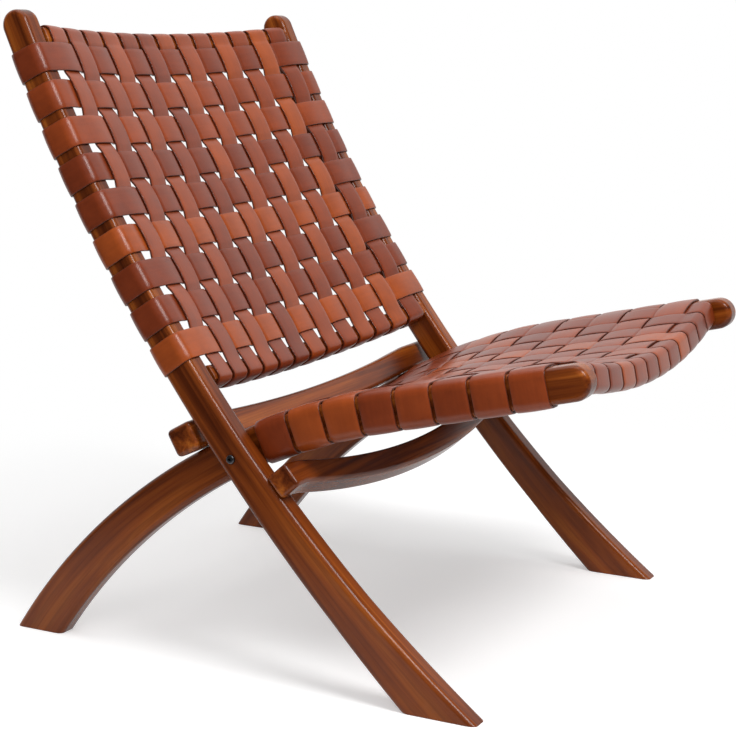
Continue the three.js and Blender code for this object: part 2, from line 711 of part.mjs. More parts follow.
function backFrame() {
  const group = new THREE.Group();
  pair(group, "back_rail", backRailGeometry(), WOOD);
  group.add(meshOf("lower_back_crossbar", crossbarGeometry(BACK_FACE, BACK_FACE.bars[0]), WOOD));
  group.add(meshOf("top_back_crossbar", crossbarGeometry(BACK_FACE, BACK_FACE.bars[1]), WOOD));
  group.add(placed(meshOf("curved_stretcher", stretcherGeometry(), WOOD), stretcherMatrix()));
  pair(group, "pivot_bolt", boltGeometry(), STEEL);
  addStraps(group, "back", BACK_FACE);
  return group;
}

function seatFrame() {
  const group = new THREE.Group();
  pair(group, "seat_rail", seatRailGeometry(), WOOD);
  group.add(meshOf("seat_front_crossbar", crossbarGeometry(SEAT_FACE, SEAT_FACE.bars[0]), WOOD));
  group.add(meshOf("seat_rear_crossbar", crossbarGeometry(SEAT_FACE, SEAT_FACE.bars[1]), WOOD));
  group.add(placed(meshOf("rear_stop_bar", stopBarGeometry(), WOOD), stopBarMatrix()));
  pair(group, "threaded_insert", insertGeometry(), BRASS);
  pair(group, "spacer_washer", washerGeometry(), NYLON);
  addStraps(group, "seat", SEAT_FACE);
  return group;
}

// The chair, with its origin on the floor under the middle of its length
const reach = seatRailOutline().map((spot) => spot.x);
const chair = new THREE.Group();
const frames = new THREE.Group();
frames.position.set(0, -(Math.min(...reach) + Math.max(...reach)) / 2, PIVOT_HEIGHT);
frames.add(backFrame(), seatFrame());
chair.add(frames);

export default chair;
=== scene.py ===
# %% [markdown]
# # A folding lounge chair of dark wood and woven leather
# Two wooden frames cross like an X and turn on one bolt at each side. Flat leather straps are woven into
# a seat and a back, as in a basket, and every strap is wrapped round the wood at both ends. The measured
# parts of the chair come in first. Each one shows where a piece belongs and says which frame it turns
# with. Their box is kept, to compare with at the end.

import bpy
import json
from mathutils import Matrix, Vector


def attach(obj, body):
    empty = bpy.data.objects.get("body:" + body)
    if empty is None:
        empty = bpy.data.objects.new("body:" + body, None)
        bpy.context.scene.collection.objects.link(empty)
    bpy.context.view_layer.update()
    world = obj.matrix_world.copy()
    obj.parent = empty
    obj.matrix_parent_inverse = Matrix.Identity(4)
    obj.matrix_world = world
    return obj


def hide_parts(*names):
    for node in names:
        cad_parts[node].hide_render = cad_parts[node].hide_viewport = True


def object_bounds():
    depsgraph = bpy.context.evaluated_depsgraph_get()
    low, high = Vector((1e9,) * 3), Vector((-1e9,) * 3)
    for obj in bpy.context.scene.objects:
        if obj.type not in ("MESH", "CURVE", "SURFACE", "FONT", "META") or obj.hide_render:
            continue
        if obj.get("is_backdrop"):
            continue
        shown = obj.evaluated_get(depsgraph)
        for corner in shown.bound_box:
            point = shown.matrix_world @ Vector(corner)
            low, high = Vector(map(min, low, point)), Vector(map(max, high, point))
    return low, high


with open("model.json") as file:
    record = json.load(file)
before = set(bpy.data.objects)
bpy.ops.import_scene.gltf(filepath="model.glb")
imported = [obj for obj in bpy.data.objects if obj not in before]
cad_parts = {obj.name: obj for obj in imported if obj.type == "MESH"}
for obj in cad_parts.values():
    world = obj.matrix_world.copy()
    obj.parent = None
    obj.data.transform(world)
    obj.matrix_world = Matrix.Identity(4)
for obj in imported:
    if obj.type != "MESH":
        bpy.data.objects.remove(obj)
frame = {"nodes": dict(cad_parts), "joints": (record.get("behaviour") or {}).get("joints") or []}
measured_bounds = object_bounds()
print("measured parts:", len(frame["nodes"]))

# %% [markdown]
# ## Units, and starting a piece
# Blender works in metres and a chair maker in millimetres, so sizes below are written as so many MM.
# Every new piece starts from a primitive. A tool in Blender acts on all that is selected, and the loaded
# parts arrive selected, so everything is deselected before each primitive is added.

# %% Start a piece
import json
import math

import bpy
import numpy as np
from mathutils import Matrix, Vector

MM = 0.001
BOLT = Vector(frame["joints"][0]["pos_m"])


def start(name, add_primitive, **size):
    """Adds one primitive, alone in the selection, and names it."""
    bpy.ops.object.select_all(action="DESELECT")
    add_primitive(**size)
    piece = bpy.context.object
    piece.name = name
    piece.data.name = name
    return piece


print("the frames turn on a bolt at", [round(value / MM, 1) for value in BOLT], "mm")

# %% [markdown]
# ## A white floor
# The chair stands on plain white paper, as in a catalogue. Strong lamps could make a grey floor white,
# but they would bleach the chair too. So the floor is matt paint that takes the shadow, plus a weak glow
# that lifts it to white. The next step makes sure that this glow never falls on the chair.

# %% Floor with a glow
def add_node(tree, kind, links=(), **values):
    """Adds a shader node, sets its properties and inputs, and links outputs into its inputs."""
    node = tree.nodes.new("ShaderNode" + kind)
    for name, value in values.items():
        if name in node.inputs:
            node.inputs[name].default_value = value
        else:
            setattr(node, name, value)
    for socket, source in dict(links).items():
        tree.links.new(source, node.inputs[socket])
    return node


def cleared_tree(owner):
    owner.use_nodes = True
    owner.node_tree.nodes.clear()
    return owner.node_tree


floor = start("floor", bpy.ops.mesh.primitive_plane_add, size=60)
floor_paint = bpy.data.materials.new("white floor")
floor.data.materials.append(floor_paint)
floor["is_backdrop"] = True
tree = cleared_tree(floor_paint)
matt = add_node(tree, "BsdfDiffuse", Color=(0.8, 0.8, 0.8, 1))
glow = add_node(tree, "Emission", Color=(1, 1, 1, 1), Strength=0.38)
lit = add_node(tree, "AddShader", [(0, matt.outputs[0]), (1, glow.outputs[0])])
print("floor is", round(floor.dimensions.x), "m wide")

# %% [markdown]
# ## Who sees the white
# A Light Path node tells which kind of ray asks for the colour. The camera always gets white. So do shiny
# surfaces, except that the floor on the camera's side is dim to them: a studio is dark there, and that
# keeps the near side of varnish and leather deep in colour. Light that bounces off the floor on to the
# chair finds it grey. Away from the chair the paper fades into pure white, so that no horizon shows.

# %% Floor for the camera, for reflections and for bounced light
def seen_directly(tree):
    """1 for what the camera sees, itself or in a glossy surface, and 0 for light that falls on the chair."""
    rays = add_node(tree, "LightPath").outputs
    seen = rays["Is Camera Ray"]
    for other in ("Is Glossy Ray", "Is Transmission Ray"):
        seen = add_node(tree, "Math", [(0, seen), (1, rays[other])], operation="MAXIMUM").outputs[0]
    return seen


def white_to_camera(tree, reflected):
    """Full white where the camera looks at it, and the given strength in reflections."""
    direct = add_node(tree, "LightPath").outputs["Is Camera Ray"]
    return add_node(tree, "Math", [(0, direct), (1, reflected)], operation="MAXIMUM").outputs[0]


def rising(tree, value, first, last, lowest=0.0):
    """A soft step from the lowest strength to 1, between two values."""
    step = add_node(tree, "MapRange", [("Value", value)], interpolation_type="SMOOTHSTEP")
    step.inputs["From Min"].default_value = first
    step.inputs["From Max"].default_value = last
    step.inputs["To Min"].default_value = lowest
    return step.outputs[0]


DIM = 0.04
DIM_FLOOR = (-0.85, -0.56)
FADING_PAPER = (0.55, 1.25)

place = add_node(tree, "TexCoord").outputs["Object"]
distance = add_node(tree, "VectorMath", [(0, place)], operation="LENGTH").outputs["Value"]
sideways = add_node(tree, "SeparateXYZ", [("Vector", place)]).outputs["X"]
in_picture = white_to_camera(tree, rising(tree, sideways, *DIM_FLOOR, lowest=DIM))
near_chair = add_node(tree, "Math", [(1, rising(tree, distance, *FADING_PAPER))], operation="SUBTRACT")
near_chair.inputs[0].default_value = 1
kept = add_node(tree, "Math", [(0, near_chair.outputs[0]), (1, in_picture)], operation="MULTIPLY")
white = add_node(tree, "Emission", [("Strength", in_picture)], Color=(1, 1, 1, 1))
shown = add_node(tree, "MixShader", [(0, kept.outputs[0]), (1, white.outputs[0]), (2, lit.outputs[0])])
grey = add_node(tree, "BsdfDiffuse", Color=(0.4, 0.4, 0.4, 1))
paint = add_node(
    tree, "MixShader", [(0, seen_directly(tree)), (1, grey.outputs[0]), (2, shown.outputs[0])]
)
add_node(tree, "OutputMaterial", [("Surface", paint.outputs[0])])
print("floor paint has", len(tree.nodes), "nodes")

# %% [markdown]
# ## The white wall
# The wall is the world behind everything. It follows the same plan as the floor: white to the camera,
# white in reflections where it stands behind the chair, and dim behind the camera. As a light it is only
# a thin haze, which keeps the shadows open.

# %% Wall and haze
WAY_THE_CAMERA_LOOKS = (0.893, 0.451, 0)
DIM_WALL = (0.0, 0.55)

room = bpy.data.worlds.new("white room")
bpy.context.scene.world = room
tree = cleared_tree(room)
direction = add_node(tree, "TexCoord").outputs["Generated"]
behind = add_node(tree, "VectorMath", [(0, direction)], operation="DOT_PRODUCT")
behind.inputs[1].default_value = WAY_THE_CAMERA_LOOKS
wall_light = white_to_camera(tree, rising(tree, behind.outputs["Value"], *DIM_WALL, lowest=DIM))
wall = add_node(tree, "Background", [("Strength", wall_light)], Color=(1, 1, 1, 1))
haze = add_node(tree, "Background", Color=(1, 1, 1, 1), Strength=0.4)
air = add_node(
    tree, "MixShader", [(0, seen_directly(tree)), (1, haze.outputs[0]), (2, wall.outputs[0])]
)
add_node(tree, "OutputWorld", [("Surface", air.outputs[0])])
print("haze strength", haze.inputs["Strength"].default_value)

# %% [markdown]
# ## Soft lamps
# Large lamps give soft shadows, as in a photo studio: one in front of and above the chair, one overhead
# and a weaker one on the side that the camera sees. The last one would show as a pale square in the
# varnish, so it is hidden from reflections and only brightens the shadows.

# %% Lamps
AIM = Vector((0.0, 0.0, 0.38))


def soft_lamp(name, place, size, power):
    bpy.ops.object.light_add(type="AREA", location=place)
    lamp = bpy.context.object
    lamp.name = name
    lamp.data.shape = "SQUARE"
    lamp.data.size = size
    lamp.data.energy = power
    lamp.rotation_euler = (AIM - Vector(place)).to_track_quat("-Z", "Y").to_euler()
    lamp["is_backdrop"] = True
    print(name, power, "W,", size, "m wide")
    return lamp


soft_lamp("front lamp", (-0.9, -1.8, 2.6), 1.0, 58)
soft_lamp("overhead lamp", (0.0, 0.3, 2.7), 2.0, 22)
fill = soft_lamp("side lamp", (-2.6, -0.8, 1.6), 1.6, 17)
fill.visible_glossy = False

# %% [markdown]
# ## The camera
# The camera stands where the photographer stood. Its place and lens were found by matching the edges of
# the rails, and the picture is turned by a little more than half a degree. A camera can be aimed with a
# constraint, but three directions (right, up and back) written as a matrix also hold that turn.

# %% Camera
AZIMUTH, ELEVATION, ROLL = (math.radians(angle) for angle in (-63.2, 10.8145, 0.6293))

flat_reach = math.cos(ELEVATION)
back = Vector((math.sin(AZIMUTH) * flat_reach, -math.cos(AZIMUTH) * flat_reach, math.sin(ELEVATION)))
level = Vector((math.cos(AZIMUTH), math.sin(AZIMUTH), 0))
right = level * math.cos(ROLL) + back.cross(level) * math.sin(ROLL)
bpy.ops.object.camera_add(location=(-1.99447, -0.98295, 0.74497))
camera = bpy.context.object
camera.rotation_euler = Matrix((right, back.cross(right), back)).transposed().to_euler()
camera.data.lens = 86.9
camera.data.sensor_width = 36
bpy.context.scene.camera = camera
bpy.context.scene.view_settings.view_transform = "Standard"
print("camera", [round(value, 3) for value in camera.location], "lens", round(camera.data.lens, 1))

# %% [markdown]
# ## Colours from noise
# Wood and leather are both uneven: a base colour runs from dark to light, and thinner shades lie over it
# like glazes. A picture could be wrapped round the pieces, but it would repeat and need unwrapping.
# Noise, sent through a colour ramp, gives a pattern that never repeats.

# %% Noise, ramps and glazes
def noise(tree, place, **settings):
    return add_node(tree, "TexNoise", [("Vector", place)], **settings).outputs[0]


def ramp(tree, source, *stops):
    """Turns a value into a colour, through (value, colour) stops."""
    node = add_node(tree, "ValToRGB", [("Fac", source)])
    elements = node.color_ramp.elements
    while len(elements) < len(stops):
        elements.new(0.5)
    for element, (place, colour) in zip(elements, stops):
        element.position = place
        element.color = (*colour, 1)
    return node.outputs[0]


def glazed(tree, colour, shade, strength):
    """Lays a thin shade over a colour, which darkens it."""
    links = [("Color1", colour), ("Color2", shade)]
    return add_node(tree, "MixRGB", links, blend_type="MULTIPLY", Fac=strength).outputs[0]


def new_finish(name):
    """A material with its node tree and its main shader."""
    material = bpy.data.materials.new(name)
    material.use_nodes = True
    return material, material.node_tree, material.node_tree.nodes["Principled BSDF"]


print("materials so far:", len(bpy.data.materials))

# %% [markdown]
# ## Varnished wood
# The frame is hardwood, stained red-brown, under a thin satin varnish. The grain runs along each board,
# also where the board bends, so it can't follow the room's directions. Each rail keeps the place that
# every point had on the straight board, and the noise is read there, drawn out along the length. Cloudy
# stain and fine dark pores lie over the grain, and the pores are pressed in a little.

# %% Wood
def varnished_wood(name, along_axis=None):
    """Wood whose grain follows the flat board, or one axis of a measured part that was never flat."""
    material, tree, shader = new_finish(name)
    if along_axis is None:
        along_axis = 2
        place = add_node(tree, "Attribute", attribute_name="flat").outputs["Vector"]
    else:
        place = add_node(tree, "TexCoord").outputs["Object"]

    def drawn_out(share):
        """Places with the board's length shrunk, so that a pattern is drawn out along it."""
        scale = [share if axis == along_axis else 1 for axis in range(3)]
        return add_node(tree, "Mapping", [("Vector", place)], Scale=scale).outputs[0]

    long_places = drawn_out(0.05)
    grain = noise(tree, long_places, Scale=60, Detail=5, Roughness=0.48, Distortion=0.8)
    cloud = noise(tree, long_places, Scale=24, Detail=3, Roughness=0.5)
    pores = noise(tree, drawn_out(0.012), Scale=380, Detail=3, Roughness=0.6)
    stain = ramp(
        tree, grain,
        (0.30, (0.098, 0.017, 0.002)),
        (0.43, (0.182, 0.037, 0.005)),
        (0.56, (0.282, 0.062, 0.007)),
        (0.72, (0.405, 0.110, 0.014)),
    )
    cloud_shade = ramp(tree, cloud, (0.34, (0.55, 0.48, 0.46)), (0.62, (1.0, 1.0, 1.0)))
    pore_shade = ramp(tree, pores, (0.36, (0.54, 0.48, 0.46)), (0.60, (1.08, 1.08, 1.08)))
    colour = glazed(tree, glazed(tree, stain, cloud_shade, 0.85), pore_shade, 0.6)
    relief = add_node(tree, "Bump", [("Height", pores)], Strength=0.06, Distance=0.0006)
    tree.links.new(colour, shader.inputs["Base Color"])
    tree.links.new(relief.outputs[0], shader.inputs["Normal"])
    shader.inputs["Roughness"].default_value = 0.26
    shader.inputs["Specular IOR Level"].default_value = 0.25
    return material


wood = varnished_wood("varnished wood")
crossbar_wood = varnished_wood("varnished crossbar wood", along_axis=0)
print("wood has", len(wood.node_tree.nodes), "nodes")

# %% [markdown]
# ## Where the rails run
# Each side rail is sawn from one board. A back rail is one long arc from the round finial at the top to
# the front foot. A seat rail is straight from the nose and then bends down to the rear foot. The lines
# below give the middle of a rail, as (rearward, upward) from the bolt, and the direction across it.
# Written as formulas, they also serve the straps later, which have to follow the same wood.

# %% Line of the back rails
RAIL_THICKNESS = 29 * MM
BACK_OUTER = 315 * MM
BACK_INNER = BACK_OUTER - RAIL_THICKNESS
BACK_LEAN = math.radians(39.2)
BACK_RADIUS = 2085 * MM
BACK_FORWARD = 2.1 * MM
BACK_BOARD = 36.5 * MM
BACK_TOP = 582 * MM
BACK_LOW = -440 * MM


def upward(lean):
    return np.stack([np.sin(lean), np.cos(lean)], axis=-1)


def rearward(lean):
    return np.stack([np.cos(lean), -np.sin(lean)], axis=-1)


def back_line(along):
    out = rearward(BACK_LEAN - along / BACK_RADIUS)
    return out * BACK_RADIUS - rearward(BACK_LEAN) * (BACK_FORWARD + BACK_RADIUS), out


def back_depth(along):
    stations = np.array([BACK_LOW, -215 * MM, 0, BACK_TOP])
    depths = np.array([64.7 * MM, 48 * MM, 41 * MM, BACK_BOARD])
    return np.interp(along, stations, depths)


print("finial", np.round(back_line(BACK_TOP)[0] / MM), "mm from the bolt, rearward and upward")

# %% [markdown]
# ## The line of the seat rails
# The seat rail's line is made of two parts that meet smoothly: a straight one under the seat, and an arc
# that carries on down to the rear foot. The rail lies inside the back rail, and it grows deeper towards
# the foot.

# %% Line of the seat rails
SEAT_OUTER = 282 * MM
SEAT_INNER = SEAT_OUTER - RAIL_THICKNESS
SEAT_SLOPE = math.radians(13.6)
SEAT_RADIUS = 792 * MM
SEAT_BEND = -183 * MM
SEAT_RISE = 3.2 * MM
SEAT_BOARD = 39 * MM
SEAT_NOSE = -432.5 * MM
SEAT_REAR = 480 * MM


def seat_slope(along):
    return SEAT_SLOPE + np.maximum(0, along - SEAT_BEND) / SEAT_RADIUS


def seat_line(along):
    slope = seat_slope(along)
    middle = upward(seat_slope(0.0)) * (SEAT_RISE - SEAT_RADIUS) + upward(slope) * SEAT_RADIUS
    straight = np.minimum(0, along - SEAT_BEND)
    return middle + rearward(slope) * straight[..., None], upward(slope)


def seat_depth(along):
    stations = np.array([SEAT_NOSE, 0, SEAT_REAR])
    depths = np.array([SEAT_BOARD, 46 * MM, 59.2 * MM])
    return np.interp(along, stations, depths)


print("nose", np.round(seat_line(np.array(SEAT_NOSE))[0] / MM), "mm from the bolt, rearward and upward")

# %% [markdown]
# ## Straight boards
# A curved rail could be extruded along a curve, but its round end would be hard to add. It is easier to
# shape the board while it is straight and to bend it last. A cube is stretched into a board, and the two
# edges at its top get a bevel of half the board's depth, which turns the end into a half circle. Weld
# joins the points where the two bevels meet.

# %% Boards with a half round end
NEARLY_HALF = 0.4999


def alone(piece):
    """Makes a piece the only selected one, as a click on it does."""
    bpy.ops.object.select_all(action="DESELECT")
    piece.select_set(True)
    bpy.context.view_layer.objects.active = piece


def points_of(piece):
    points = np.empty(len(piece.data.vertices) * 3)
    piece.data.vertices.foreach_get("co", points)
    return points.reshape(-1, 3)


def move_points(piece, points):
    piece.data.vertices.foreach_set("co", np.asarray(points).ravel())
    piece.data.update()


def round_edges(piece, wanted, radius, segments):
    """Bevels the edges whose two ends pass the test."""
    alone(piece)
    mesh = piece.data
    bpy.context.tool_settings.mesh_select_mode = (False, True, False)
    for items in (mesh.vertices, mesh.edges, mesh.polygons):
        items.foreach_set("select", np.zeros(len(items), dtype=bool))
    for edge in mesh.edges:
        edge.select = wanted(*(mesh.vertices[i].co for i in edge.vertices))
    bpy.ops.object.mode_set(mode="EDIT")
    bpy.ops.mesh.bevel(offset=radius, segments=segments, affect="EDGES", clamp_overlap=False)
    bpy.ops.object.mode_set(mode="OBJECT")


def use_modifier(piece, kind, **settings):
    """Adds a modifier and applies it."""
    alone(piece)
    bpy.ops.object.modifier_add(type=kind)
    modifier = piece.modifiers[-1]
    for name, value in settings.items():
        setattr(modifier, name, value)
    bpy.ops.object.modifier_apply(modifier=modifier.name)


def straight_board(name, depth, first, last):
    """A board along Z with a half round end at the top."""
    board = start(name, bpy.ops.mesh.primitive_cube_add, size=1)
    size = (RAIL_THICKNESS, depth, last - first)
    move_points(board, points_of(board) * size + (0, 0, (first + last) / 2))
    end = depth * NEARLY_HALF
    round_edges(board, lambda a, b: min(a.z, b.z) > last - MM and a.y * b.y > 0, end, segments=12)
    use_modifier(board, "WELD", merge_threshold=0.05 * MM)
    print(name, "board", round((last - first) / MM), "mm long")
    return board


back_rail = straight_board("back-rail-right", BACK_BOARD, BACK_LOW, BACK_TOP)
seat_rail = straight_board("seat-rail-right", SEAT_BOARD, -SEAT_REAR, -SEAT_NOSE)

# %% [markdown]
# ## Soft edges and slices
# The maker runs a router with a round cutter along every long edge and round the end, so the finial and
# the nose feel soft. Here a bevel does that, on the edges that lie in the two flat sides. A board can
# only bend where it has points, so it is then cut across at even steps with Bisect, which cuts a mesh
# along a plane.

# %% Round the long edges and slice the boards
RAIL_EDGE = 7 * MM
SLICE = 16 * MM


def slice_across(piece, axis, first, last, step):
    alone(piece)
    bpy.ops.object.mode_set(mode="EDIT")
    normal = Vector([float(i == axis) for i in range(3)])
    for place in np.arange(first + step, last, step):
        bpy.ops.mesh.select_all(action="SELECT")
        bpy.ops.mesh.bisect(plane_co=normal * place, plane_no=normal)
    bpy.ops.object.mode_set(mode="OBJECT")


def in_flat_side(a, b):
    """True for an edge that lies in one of a board's two flat sides."""
    side = RAIL_THICKNESS / 2 - 0.1 * MM
    return min(a.x, b.x) > side or max(a.x, b.x) < -side


for rail, first, last in (
    (back_rail, BACK_LOW, BACK_TOP - BACK_BOARD / 2),
    (seat_rail, -SEAT_REAR, -SEAT_NOSE - SEAT_BOARD / 2),
):
    round_edges(rail, in_flat_side, RAIL_EDGE, segments=6)
    slice_across(rail, 2, first, last, SLICE)
    print(rail.name, "has", len(rail.data.polygons), "faces")

# %% [markdown]
# ## Bend the boards
# Every point keeps its place along the board and moves with it to the rail's line. The rail is deeper at
# the foot than at its round end, and plain stretching would also stretch the rounded edges, so only the
# flat middle is widened. The straight place of each point is stored first, because the grain is read from
# it.

# %% Bend
def keep_flat(piece, flat):
    """Stores where each point was on the straight, flat piece."""
    attribute = piece.data.attributes.new("flat", "FLOAT_VECTOR", "POINT")
    attribute.data.foreach_set("vector", np.asarray(flat, dtype=np.float32).ravel())


def widened(across, depth, new_depth):
    """Moves the edges of a board apart without stretching their rounding."""
    core = depth / 2 - RAIL_EDGE
    new_core = new_depth / 2 - RAIL_EDGE
    inside = np.abs(across) <= core
    return np.where(inside, across * new_core / core, across + np.sign(across) * (new_core - core))


def bend_board(board, depth, line, depth_at, sense, inner):
    """Lays a straight board along a rail's line; sense is -1 where the line is counted from the nose."""
    flat = points_of(board)
    along = flat[:, 2] * sense
    spots, out = line(along)
    side = out * widened(flat[:, 1], depth, depth_at(along))[:, None]
    bent = np.column_stack([inner + RAIL_THICKNESS / 2 + flat[:, 0], spots + side])
    move_points(board, bent + (0, BOLT.y, BOLT.z))
    keep_flat(board, flat)
    print(board.name, "is now", round(np.ptp(bent[:, 2]) / MM), "mm high")


bend_board(back_rail, BACK_BOARD, back_line, back_depth, 1, BACK_INNER)
bend_board(seat_rail, SEAT_BOARD, seat_line, seat_depth, -1, SEAT_INNER)

# %% [markdown]
# ## Saw the feet
# The boards were left too long, and the feet are sawn level with the floor, as a maker does once the
# frame stands. Bisect can throw away what lies below its plane and close the cut. The sharp rim then gets
# a small bevel.

# %% Feet
FOOT_EDGE = 1.2 * MM
ON_FLOOR = 0.01 * MM


def face_outwards(piece):
    """Turns all faces of a closed shape outwards."""
    alone(piece)
    bpy.ops.object.mode_set(mode="EDIT")
    bpy.ops.mesh.select_all(action="SELECT")
    bpy.ops.mesh.normals_make_consistent(inside=False)
    bpy.ops.object.mode_set(mode="OBJECT")


for rail in (back_rail, seat_rail):
    alone(rail)
    bpy.ops.object.mode_set(mode="EDIT")
    bpy.ops.mesh.select_all(action="SELECT")
    bpy.ops.mesh.bisect(plane_co=(0, 0, 0), plane_no=(0, 0, 1), clear_inner=True, use_fill=True)
    bpy.ops.object.mode_set(mode="OBJECT")
    face_outwards(rail)
    round_edges(rail, lambda a, b: max(a.z, b.z) < ON_FLOOR, FOOT_EDGE, segments=2)
    points = points_of(rail)
    foot = points[points[:, 2] < ON_FLOOR]
    print(rail.name, "stands on", round(np.ptp(foot[:, 1]) / MM), "mm of its length")

# %% [markdown]
# ## The other side
# The left rails are mirror images. A Mirror modifier would keep both sides in one mesh, but they are
# separate pieces, so each rail is duplicated and the copy is turned over. Mirroring turns the faces
# inside out, so they are turned back. No two boards have the same grain: the copy reads its grain from
# another place.

# %% Twins and finish
TWIN_GRAIN = (0.4, 0.1, 0.7)


def mirrored(piece):
    """A left-hand twin of a right-hand piece, with its own mesh."""
    alone(piece)
    bpy.ops.object.duplicate()
    twin = bpy.context.object
    twin.name = piece.name.replace("right", "left")
    twin.data.name = twin.name
    bpy.ops.object.mode_set(mode="EDIT")
    bpy.ops.mesh.select_all(action="SELECT")
    bpy.ops.transform.mirror(constraint_axis=(True, False, False), center_override=(0, 0, 0))
    bpy.ops.object.mode_set(mode="OBJECT")
    face_outwards(twin)
    return twin


def other_grain(piece, shift):
    values = piece.data.attributes["flat"].data
    flat = np.empty(len(values) * 3, dtype=np.float32)
    values.foreach_get("vector", flat)
    values.foreach_set("vector", (flat.reshape(-1, 3) + shift).astype(np.float32).ravel())


def smooth(piece, degrees):
    alone(piece)
    bpy.ops.object.shade_smooth_by_angle(angle=math.radians(degrees))


def soft_shading(piece):
    smooth(piece, 40)
    use_modifier(piece, "WEIGHTED_NORMAL", keep_sharp=True)


def finish_piece(piece, body, slot, material, *nodes):
    """Gives a piece its material and the frame it turns with, and hides the measured parts it stands for."""
    piece.data.materials.clear()
    piece.data.materials.append(material)
    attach(piece, body)
    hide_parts(*nodes)


for rail, body, node in ((back_rail, "back_frame", "back_rail"), (seat_rail, "seat_frame", "seat_rail")):
    twin = mirrored(rail)
    other_grain(twin, TWIN_GRAIN)
    for piece, side in ((rail, "right"), (twin, "left")):
        soft_shading(piece)
        finish_piece(piece, body, "wood", wood, f"{node}_{side}")
        print(piece.name, "has", len(piece.data.polygons), "faces")

# %% [markdown]
# ## The crossbars
# Four bowed bars join the rails and carry the ends of the straps that run from bar to bar. Leather covers
# nearly all of them, so finer ones wouldn't show: the measured bars stay as they are and only get the
# wood, with its grain across the chair.

# %% Crossbars
for name in ("top_back_crossbar", "lower_back_crossbar", "seat_front_crossbar", "seat_rear_crossbar"):
    bar = frame["nodes"][name]
    bar.data.materials.clear()
    bar.data.materials.append(crossbar_wood)
    print(name, round(bar.dimensions.x / MM), "mm long")

# %% [markdown]
# ## Places on a woven face
# The straps lie on the front edge of the back rails and on the top edge of the seat rails, and two more
# bars are set on the same edges. A place there is given by its distance along the rail, sideways across
# the chair, and away from the sitter. That way a strap can be planned as if the face were flat.

# %% Face of the back and of the seat
def back_edge(along):
    middle, out = back_line(along)
    return middle - out * back_depth(along)[..., None] / 2


def seat_edge(along):
    middle, out = seat_line(along)
    return middle + out * seat_depth(along)[..., None] / 2


def on_face(edge, side, along, away):
    """Points in the room for places on a woven face."""
    along = np.asarray(along, dtype=float)
    step = 0.5 * MM
    ahead = edge(along + step) - edge(along - step)
    ahead /= np.linalg.norm(ahead, axis=-1, keepdims=True)
    behind = np.stack([ahead[..., 1], -ahead[..., 0]], axis=-1)
    spot = edge(along) + behind * np.asarray(away)[..., None]
    side = np.broadcast_to(side, along.shape)
    return np.stack([side, spot[..., 0] + BOLT.y, spot[..., 1] + BOLT.z], axis=-1)


for name, edge in (("back", back_edge), ("seat", seat_edge)):
    spot = on_face(edge, 0.0, np.zeros(1), np.zeros(1))[0]
    print(name, "face at the bolt", np.round(spot / MM, 1), "mm")

# %% [markdown]
# ## Bowed bars
# The curved stretcher joins the front legs, and the seat rails rest just above it. The stop bar lies
# across the rear legs, close behind the back rails. Both begin as a box with bevelled edges. Their slices
# are then let down between the legs: the stretcher's along the legs and the stop bar's, a little, towards
# the floor. Moving slices keeps the ends flat on the wood, which the Simple Deform modifier's bend would
# not.

# %% Stretcher and stop bar, still lying flat
BEAM_SLICE = 12 * MM


def beam(name, height, depth, radius):
    """A bar across the chair: X across, Y along the leg, Z out of it, standing on Z = 0."""
    bar = start(name, bpy.ops.mesh.primitive_cube_add, size=1)
    move_points(bar, points_of(bar) * (2 * BACK_OUTER, height, depth) + (0, 0, depth / 2))
    round_edges(bar, lambda a, b: True, radius, segments=4)
    slice_across(bar, 0, -BACK_OUTER, BACK_OUTER, BEAM_SLICE)
    return bar


def let_down(bar, axis, half_span, bow):
    """Bows a bar between the legs, along its own Y or Z."""
    radius = (half_span**2 + bow**2) / (2 * bow)
    points = points_of(bar)
    side = np.minimum(np.abs(points[:, 0]), half_span)
    points[:, axis] -= bow - radius + np.sqrt(radius**2 - side**2)
    move_points(bar, points)
    print(bar.name, "bowed by", round(bow / MM), "mm")


stretcher = beam("curved-stretcher", height=30 * MM, depth=31 * MM, radius=5 * MM)
let_down(stretcher, axis=1, half_span=BACK_INNER, bow=36 * MM)
stop_bar = beam("rear-stop-bar", height=35 * MM, depth=34 * MM, radius=6 * MM)
let_down(stop_bar, axis=2, half_span=SEAT_INNER, bow=11 * MM)

# %% [markdown]
# ## Set the bars on the legs
# Each bar goes to its place on a leg's edge. The bar's own three directions become: across the chair,
# along the leg, and out of the leg. A gap as thin as glue is left, so that the two surfaces don't
# flicker.

# %% Bars on the legs
STRETCHER_DROP = 57.42 * MM
STOP_BAR_RUN = 49.61 * MM


def set_on_leg(bar, edge, along, gap):
    flat = points_of(bar)
    origin, next_spot = on_face(edge, 0.0, np.array([along, along + MM]), np.zeros(2))
    ahead = (next_spot - origin) / np.linalg.norm(next_spot - origin)
    out = np.array([0, -ahead[2], ahead[1]])
    places = origin + flat[:, 1:2] * ahead + (flat[:, 2:3] + gap) * out
    places[:, 0] = flat[:, 0]
    move_points(bar, places)
    keep_flat(bar, flat[:, [1, 2, 0]])
    face_outwards(bar)
    soft_shading(bar)
    print(bar.name, "lowest point", round(places[:, 2].min() / MM), "mm over the floor")


set_on_leg(stretcher, back_edge, -STRETCHER_DROP, gap=0.3 * MM)
finish_piece(stretcher, "back_frame", "wood", wood, "curved_stretcher")
set_on_leg(stop_bar, seat_edge, STOP_BAR_RUN, gap=0.6 * MM)
finish_piece(stop_bar, "seat_frame", "wood", wood, "rear_stop_bar")

# %% [markdown]
# ## Metal and nylon
# The bolts are blackened steel, the inserts in the wood are brass, and nylon washers keep the rails
# apart. Plain colours look like plastic toys, so a fine noise makes the gloss and the tint uneven, as
# handling does. Inserts and washers barely show between the rails, so the measured parts stay and only
# get the new finish.

